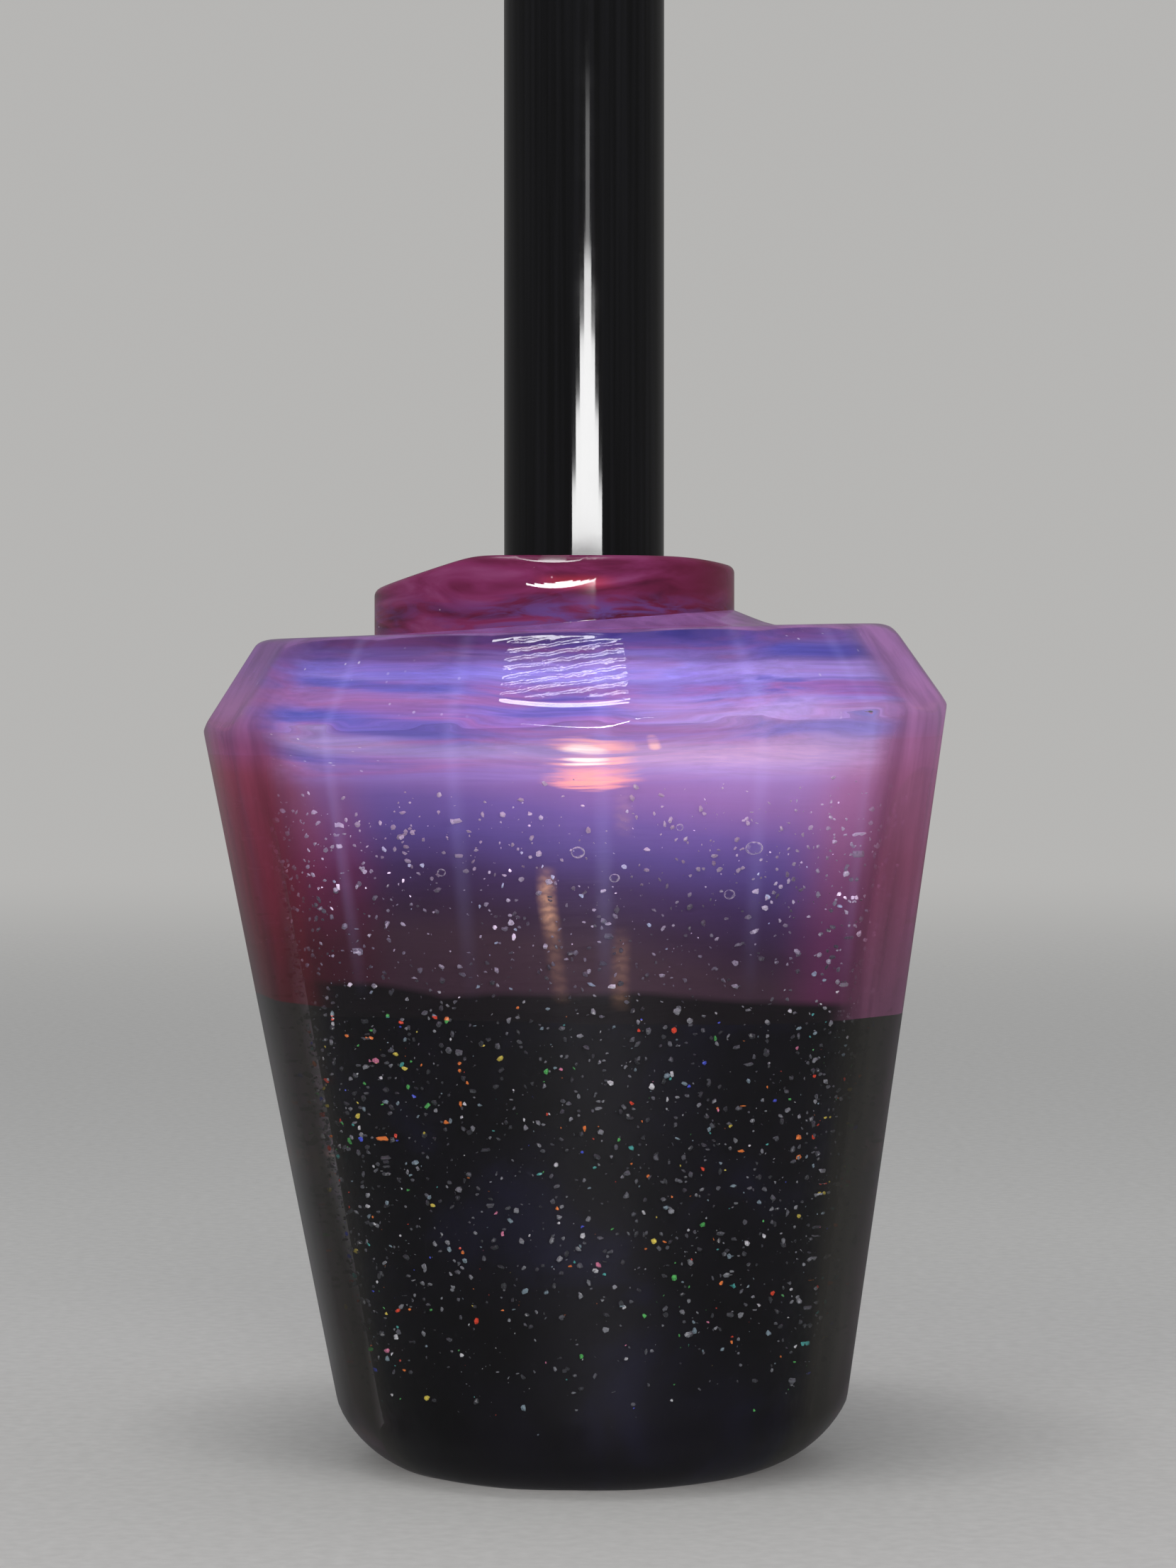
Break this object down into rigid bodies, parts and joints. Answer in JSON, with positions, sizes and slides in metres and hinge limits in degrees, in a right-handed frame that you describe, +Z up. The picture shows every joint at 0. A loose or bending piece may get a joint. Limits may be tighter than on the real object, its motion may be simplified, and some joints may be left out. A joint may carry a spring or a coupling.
{
  "type": "juggling club",
  "caption": "Heavy club standing on a faceted clear-cast head with a black core, streaked violet top and raspberry collar; a gloss black handle with a knob screws onto a stud in it.",
  "frame": {"origin": "on the table below the handle's axis, in the plane of the head's flat foot", "axes": "+Z up along the handle, +X to the right and +Y away in the picture's view"},
  "size_m": [0.093, 0.0934, 0.4],
  "materials": {
    "clear_resin": "polished",
    "black_resin": "gloss",
    "rose_resin": "polished",
    "violet_resin": "polished",
    "raspberry_resin": "polished",
    "brass": "satin",
    "black_rubber": "matte",
    "black_plastic": "gloss",
    "beech": "matte",
    "foam": "matte",
    "steel": "satin"
  },
  "bodies": {
    "head": {"clear_base": "clear_resin", "black_core": "black_resin", "rose_band": "rose_resin", "violet_crown": "violet_resin", "collar": "raspberry_resin", "stud": "brass"},
    "washer": {"seat_washer": "black_rubber"},
    "handle": {"foot_bush": "black_plastic", "thread_insert": "brass", "dowel": "beech", "foam_liner": "foam", "handle_sleeve": "black_plastic", "knob": "black_rubber", "knob_washer": "steel", "knob_screw": "steel", "knob_plug": "black_rubber"}
  },
  "joints": [
    {"name": "handle_turn", "type": "hinge", "parent": "head", "child": "washer", "pos_m": [0, 0, 0.1078], "axis": [0, 0, 1], "range_deg": [0, 5760]},
    {"name": "handle_lift", "type": "slide", "parent": "washer", "child": "handle", "axis": [0, 0, 1], "range_m": [0, 0.0201]}
  ],
  "couplings": [
    {"joint": "handle_lift", "follows": "handle_turn", "m_per_rad": 0.00019894}
  ]
}
